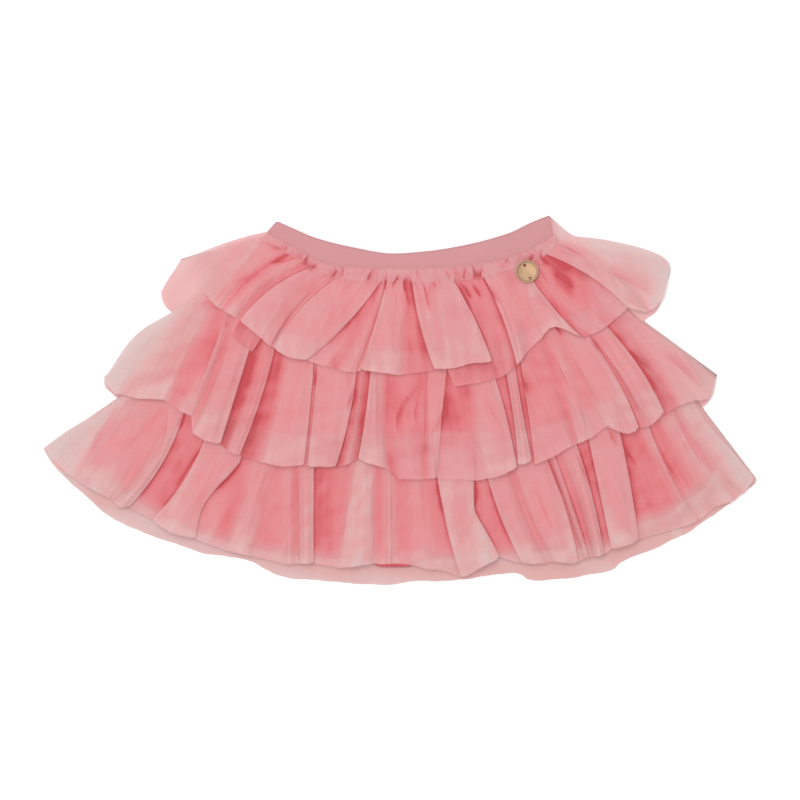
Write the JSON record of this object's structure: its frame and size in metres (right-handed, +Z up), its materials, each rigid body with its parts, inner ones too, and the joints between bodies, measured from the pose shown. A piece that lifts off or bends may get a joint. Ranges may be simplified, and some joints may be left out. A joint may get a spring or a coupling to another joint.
{
  "type": "tulle skirt",
  "caption": "Toddler's tiered tulle skirt on an elastic waistband, gathered ruffles over a plain lining, with a metal button, lying flat.",
  "frame": {"origin": "middle of the skirt's bounding box, on the surface that it lies on", "axes": "+X across the skirt towards the side with the button, +Y towards the waist, +Z up out of the front"},
  "size_m": [0.5148, 0.2671, 0.018],
  "materials": {
    "tulle": "soft fine-mesh pink tulle, translucent",
    "lining": "matt coral woven lining",
    "waistband": "smooth dusty pink knitted elastic",
    "button": "pale gold, satin, with a raised rim"
  },
  "bodies": {
    "root": {"waistband_front": "waistband", "waistband_back": "waistband", "waist_heading_front": "tulle", "waist_heading_back": "tulle", "tier_1_front": "tulle", "tier_1_back": "tulle", "tier_2_front": "tulle", "tier_2_back": "tulle", "tier_3_front": "tulle", "tier_3_back": "tulle", "lining_front": "lining", "lining_back": "lining", "button": "button"}
  },
  "joints": []
}
